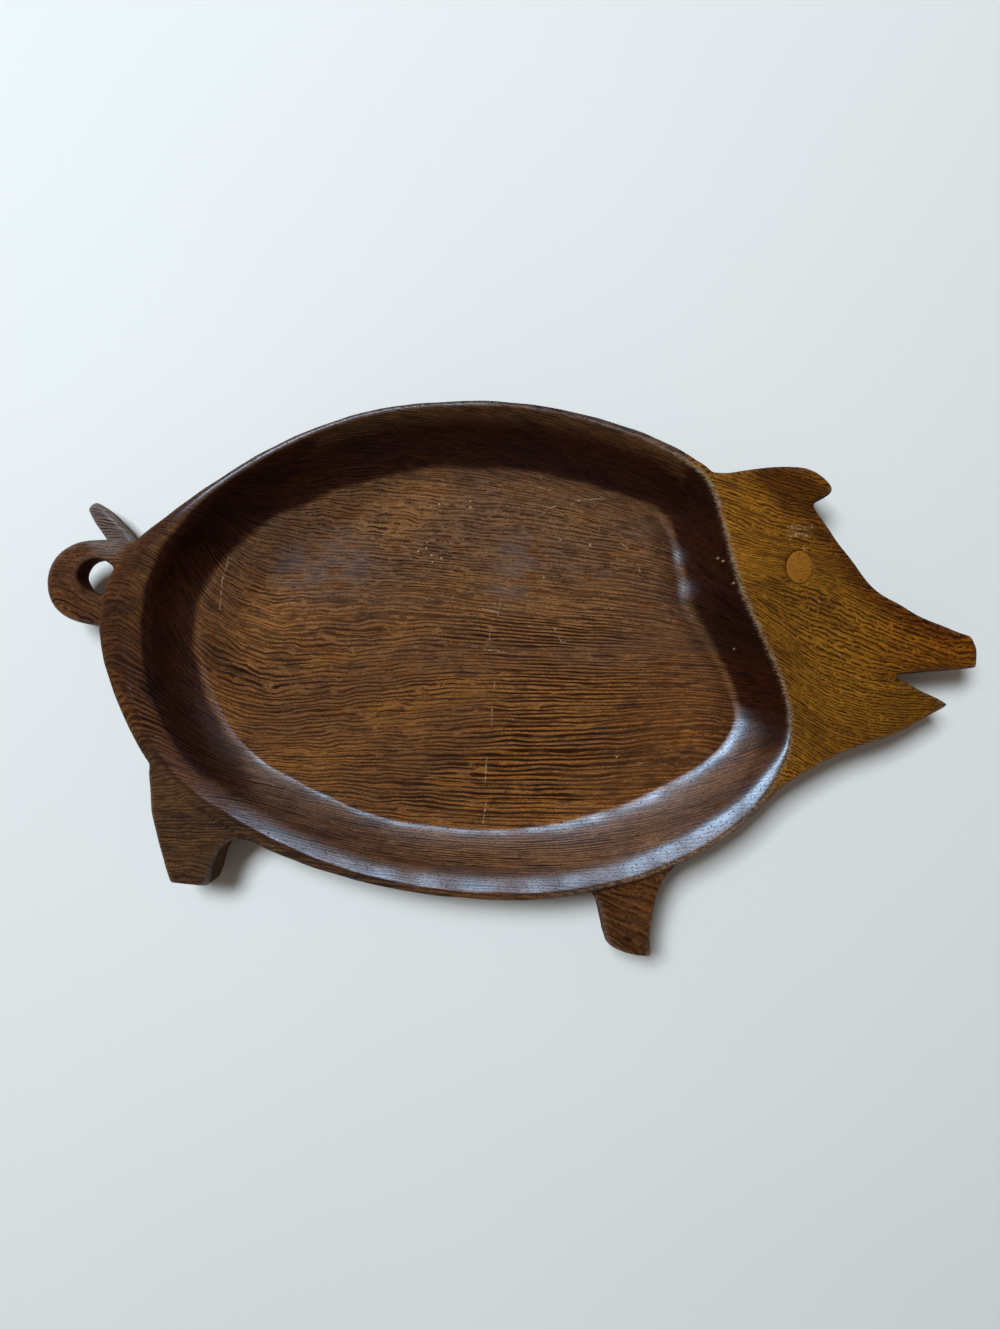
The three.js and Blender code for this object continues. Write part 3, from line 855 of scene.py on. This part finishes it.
def basin_shade_and_sheen(n, at, colour):
    """The basin: painted shade on the floor's edge away from the belly, widest by the tail, painted
    reflections as a haze on the floor, a painted sheen on the belly's wall, and the floor darker towards
    the head.
    """
    # painted shade on the floor by the walls, widest by the tail
    reach = n.fade(at.x, *FLOOR_SHADE_REACH)
    floor_shade = n.times(n.fade(at.inside, reach, n.times(reach, FLOOR_SHADE_CORE)), n.fade(at.y, *FLOOR_SHADE_Y))
    floor_shade = n.times(n.times(floor_shade, at.basin), n.fade(at.upright, *FLOOR_SHADE_LEVEL))
    colour = n.tint(n.times(floor_shade, FLOOR_SHADE_SHARE), colour, FLOOR_SHADE_TINT)
    # painted reflection of the lamp: a haze in patches on the floor
    painted_reflection = 0.0
    for start, end, edge, core in FLOOR_REFLECTIONS:
        painted_reflection = n.larger(painted_reflection, n.fade(n.far(at.over, start, end), edge, core))
    painted_reflection = n.times(n.times(painted_reflection, at.basin), n.fade(at.mottle, *FLOOR_REFLECTION_SHARE))
    colour = n.mix(painted_reflection, colour, FLOOR_REFLECTION)
    # painted sheen on the belly's wall, lighter and bluer
    belly = n.times(at.steep, n.fade(at.side_y, *BELLY_SHEEN_FACES))
    colour = n.tint(n.times(belly, n.fade(at.upright, *BELLY_SHEEN_STEEP)), colour, BELLY_SHEEN_TINT)
    floor_end = n.times(n.times(at.basin, n.fade(at.x, *FLOOR_END_X)),
                        n.fade(at.upright, *FLOOR_END_LEVEL))
    return n.tint(floor_end, colour, FLOOR_END_TINT)


REAR_LEG_X = (40.0, -60.0)
REAR_LEG_Y = (-45.0, -80.0)
TAIL_TIP = ((-216, 52), (-198, 34))
TAIL_TIP_FADE = (12.0, 5.0, 0.0, 0.55)
RIM_INSIDE = (13.0, 8.0)            # millimetres from the crest, inwards and outwards
RIM_OUTSIDE = (-12.0, -6.0)
RIM_FACES = (-0.2, 0.05)


def outer_shades(n, at, colour):
    """Outside the basin the wood is darker and the rear leg greyer, and the tail's tip has a painted
    glare.
    """
    outside = n.times(n.fade(at.basin, 1.0, 0.0), at.dish)
    rear_leg = n.times(n.fade(at.y, *REAR_LEG_Y), n.fade(at.x, *REAR_LEG_X))
    colour = n.tint(outside, colour, n.mix(rear_leg, OUTSIDE_TINT, REAR_LEG_TINT))
    # painted glare on the tail's tip
    tip = n.times(n.fade(n.far(at.over, *TAIL_TIP), *TAIL_TIP_FADE), n.rest(at.dark))
    colour = n.mix(tip, colour, TIP_GLARE)
    rim = n.times(n.fade(at.inside, *RIM_INSIDE), n.fade(at.side_y, *RIM_FACES))
    rim = n.times(n.times(rim, at.dish), n.fade(at.inside, *RIM_OUTSIDE))
    return n.tint(rim, colour, HANDLED_TINT)


RUB_BEND = (0.10, 0.34)             # outward bending, per millimetre
RUB_PATCHES = (0.42, 0.66)
RUB_SHARE = 0.45
CREST_MIDDLE = -0.5                 # millimetres inside the crest
CREST_FADE = (2.4, 0.3)
CREST_TICKS = (0.45, 0.62)
CREST_X = (30.0, 85.0, 0.0, 0.55)
MARK_SHARE = (0.65, 0.4)            # how clear marks are on the dish and on the head


def worn(n, at, colour):
    """Rubbed edges, a scuffed crest towards the head, scratches and specks."""
    rubbed = n.times(n.fade(at.bend, *RUB_BEND), n.fade(at.rub, *RUB_PATCHES))
    colour = n.mix(n.times(rubbed, RUB_SHARE), colour, RUBBED)
    crest = n.fade(n.maths("ABSOLUTE", n.minus(at.inside, CREST_MIDDLE)), *CREST_FADE)
    crest = n.times(crest, n.fade(n.clouds((at.x, at.y, at.z), *TICKS), *CREST_TICKS))
    colour = n.mix(n.times(crest, n.fade(at.x, *CREST_X)), colour, SCUFFED)
    return n.mix(n.times(at.scratched, n.lerp(at.head, *MARK_SHARE)), colour, SCRATCHED)


GLOSS_SLOPE = (0.995, 0.955)        # how far up a surface faces: level ones are dull,
GLOSS_STEEP = (0.50, 0.80, 0.28, 1.0)         # and steep ones less glossy
GLOSS_X = (-165.0, -100.0, 0.08, 1.0)
GLOSS_FACES = (-0.25, -0.02, 0.03, 1.0)       # the back's wall is dull
LIP = (15.0, 10.0)                  # millimetres inside the crest
LIP_X = (-130.0, -90.0, 0.25, 1.0)
BY_HEAD_X = (50.0, 78.0)
BY_HEAD_Y = (0.0, 12.0)
WALL_SPOT = (81, 53)                # the glossiest place of the wall beside the head
WALL_SPOT_FADE = (26.0, 8.0, 0.12, 0.5)
GLOSS = 0.85
GLOSS_EDGE = (0.05, 0.22)           # outward bending, per millimetre
EDGE_GLOSS = (0.5, 0.1)             # away from the head's wall and beside it
LINES_DULL = 0.35
PORES_DULL = (0.54, 0.68, 0.0, 0.8)


def polish(n, at):
    """How glossy the wood is: the basin's slopes towards the belly, and a little on each edge."""
    slopes = n.times(n.fade(at.upright, *GLOSS_SLOPE), n.fade(at.upright, *GLOSS_STEEP))
    slopes = n.times(n.times(at.basin, slopes), n.fade(at.x, *GLOSS_X))
    slopes = n.times(slopes, n.fade(at.side_y, *GLOSS_FACES))
    on_lip = n.fade(at.inside, *LIP)
    slopes = n.times(slopes, n.lerp(on_lip, 1.0, n.fade(at.x, *LIP_X)))
    by_head = n.times(n.fade(at.x, *BY_HEAD_X), n.fade(at.y, *BY_HEAD_Y))
    spot = n.fade(n.far(at.over, WALL_SPOT), *WALL_SPOT_FADE)
    slopes = n.times(slopes, n.lerp(by_head, 1.0, spot))
    edges = n.times(n.fade(at.bend, *GLOSS_EDGE), n.lerp(by_head, *EDGE_GLOSS))
    broken = n.larger(n.times(at.dark, LINES_DULL), n.fade(at.pores, *PORES_DULL))
    return n.times(n.larger(n.times(slopes, GLOSS), edges), n.rest(broken))


ROUGHNESS = (0.66, 0.40)            # dull and polished
ROUGH_LINES = 0.06
ROUGH_PATCHES = 0.12
LINE_DEPTH = 0.07 * MM
LINE_BUMP = 0.4
FIBRE_HEIGHT = 0.25                 # of a line's depth, as are the next two
PORE_DEPTHS = (0.56, 0.72)
SCRATCH_DEPTH = 1.5


def tray_wood():
    """Oiled hardwood: golden ground, dark tapering vessel lines, pores, wear and scratches."""
    n = Nodes("oiled_wood")
    at = tray_point(n)
    colour = head_shades(n, at, grown(n, at))
    for layer in (soaked_and_shaded, basin_shade_and_sheen, outer_shades, worn):
        colour = layer(n, at, colour)
    gloss = polish(n, at)
    roughness = n.plus(n.times(at.dark, ROUGH_LINES), n.lerp(gloss, *ROUGHNESS))
    roughness = n.plus(roughness, n.swing(at.rub, ROUGH_PATCHES))
    height = n.minus(n.times(at.fibre, FIBRE_HEIGHT), at.dark)
    height = n.minus(height, n.fade(at.pores, *PORE_DEPTHS))
    height = n.minus(height, n.times(at.scratched, SCRATCH_DEPTH))
    n.shade({"Base Color": colour, "Roughness": roughness,
             "Normal": n.bump(height, LINE_BUMP, LINE_DEPTH),
             "Specular IOR Level": 0.04, "Specular Tint": (0.75, 0.88, 1.0, 1.0),
             "Coat Weight": gloss, "Coat Roughness": 0.37, "Coat IOR": 1.9})
    return n.material


DOT_NOISE = (1.4, 2.0, 0.5)
CLOUD_NOISE = (0.22, 2.0, 0.5)
DOTS_SHOW = (0.48, 0.60, 0.0, 0.8)
DOT_ROUGHNESS = (0.3, 0.7, 0.5, 0.65)
DOT_DEPTH = 0.05 * MM
DOT_BUMP = 0.3


def eye_wood():
    """End grain: a pale golden ground with close dark dots."""
    n = Nodes("pale_wood")
    place = n.millimetres()
    dots = n.noise(place, *DOT_NOISE)
    ground = n.mix(n.noise(place, *CLOUD_NOISE), *EYE_GROUND)
    n.shade({"Base Color": n.mix(n.fade(dots, *DOTS_SHOW), ground, EYE_DOTS),
             "Roughness": n.fade(dots, *DOT_ROUGHNESS),
             "Normal": n.bump(dots, DOT_BUMP, DOT_DEPTH), "Specular IOR Level": 0.15})
    return n.material


FLOOR_NOISE = (3.0, 2.0, 0.5)       # its scale per metre


def pale_floor():
    n = Nodes("pale_floor")
    grain = n.noise(n.node("ShaderNodeTexCoord").outputs["Object"], *FLOOR_NOISE)
    n.shade({"Base Color": n.mix(grain, *FLOOR_COLOURS), "Roughness": 0.9, "Specular IOR Level": 0.2})
    return n.material


# Stage, lights and camera


WINDOW = (-0.91, 0.78, 2.06)        # where the light comes from, as a window beside the table
KEY_SIZE = (1.0, 0.74)              # the lamp that lights the colours
KEY_WATTS = 84
KEY_COLOUR = (0.66, 0.83, 1.0)
SHEEN_SIZE = (0.8, 0.58)            # the bluer lamp that the highlights mirror
SHEEN_WATTS = 90
SHEEN_COLOUR = (0.45, 0.70, 1.0)
WORLD_LIGHT = 0.16                  # how strongly the world lights the tray
WORLD_SEEN = 0.45                   # and how bright it is as a backdrop
WORLD_COLOUR = (1.0, 0.97, 0.92, 1.0)
FLOOR_HALF = 4.0                    # metres from the middle to each side
FLOOR_DROP = 0.1 * MM               # under the base, so that the two faces don't fight


def camera():
    data = bpy.data.cameras.new("camera")
    data.sensor_width = SENSOR
    data.lens = SENSOR * FOCAL / IMAGE_HEIGHT
    data.clip_start = CAMERA_NEAREST
    made = bpy.data.objects.new("camera", data)
    made.location = CAMERA_AT
    made.rotation_euler = (0, 0, CAMERA_TURN)
    bpy.context.scene.collection.objects.link(made)
    bpy.context.scene.camera = made


def softbox(name, size, watts, colour, unseen_by):
    """A rectangular lamp in the window's place that faces the tray, hidden from one kind of ray."""
    data = bpy.data.lights.new(name, "AREA")
    data.shape = "RECTANGLE"
    data.size, data.size_y = size
    data.energy = watts
    data.color = colour
    lamp = bpy.data.objects.new(name, data)
    lamp.location = WINDOW
    lamp.rotation_euler = (-Vector(WINDOW)).to_track_quat("-Z", "Y").to_euler()
    setattr(lamp, unseen_by, False)
    bpy.context.scene.collection.objects.link(lamp)


def pale_world():
    """Weak even light all round, which is seen and mirrored as a paler backdrop."""
    world = bpy.data.worlds.new("world")
    world.use_nodes = True
    tree = world.node_tree
    rays = tree.nodes.new("ShaderNodeLightPath").outputs
    seen = rays["Is Camera Ray"]
    for name in ("Is Glossy Ray", "Is Transmission Ray"):
        either = tree.nodes.new("ShaderNodeMath")
        either.operation = "MAXIMUM"
        tree.links.new(seen, either.inputs[0])
        tree.links.new(rays[name], either.inputs[1])
        seen = either.outputs[0]
    strength = tree.nodes.new("ShaderNodeMapRange")
    tree.links.new(seen, strength.inputs["Value"])
    strength.inputs["To Min"].default_value = WORLD_LIGHT
    strength.inputs["To Max"].default_value = WORLD_SEEN
    background = tree.nodes["Background"]
    background.inputs["Color"].default_value = WORLD_COLOUR
    tree.links.new(strength.outputs["Result"], background.inputs["Strength"])
    return world


def stage():
    """The floor, the lamps and the world."""
    mesh = bpy.data.meshes.new("floor")
    sides = ((-1, -1), (1, -1), (1, 1), (-1, 1))
    corners = [(x * FLOOR_HALF, y * FLOOR_HALF, -FLOOR_DROP) for x, y in sides]
    mesh.from_pydata(corners, [], [(0, 1, 2, 3)])
    mesh.materials.append(pale_floor())
    new_piece("floor", mesh)
    softbox("key", KEY_SIZE, KEY_WATTS, KEY_COLOUR, "visible_glossy")
    softbox("sheen", SHEEN_SIZE, SHEEN_WATTS, SHEEN_COLOUR, "visible_diffuse")
    bpy.context.scene.world = pale_world()
    bpy.context.scene.view_settings.view_transform = "Standard"


def dress(piece, node, material):
    """Puts a piece in a node's place, with its material and the body that it rides on."""
    piece.data.materials.clear()
    piece.data.materials.append(material)
    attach(piece, "root")
    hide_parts(node)


camera()
stage()
dress(tray(), "tray_body", tray_wood())
dress(eye(), "eye_plug", eye_wood())
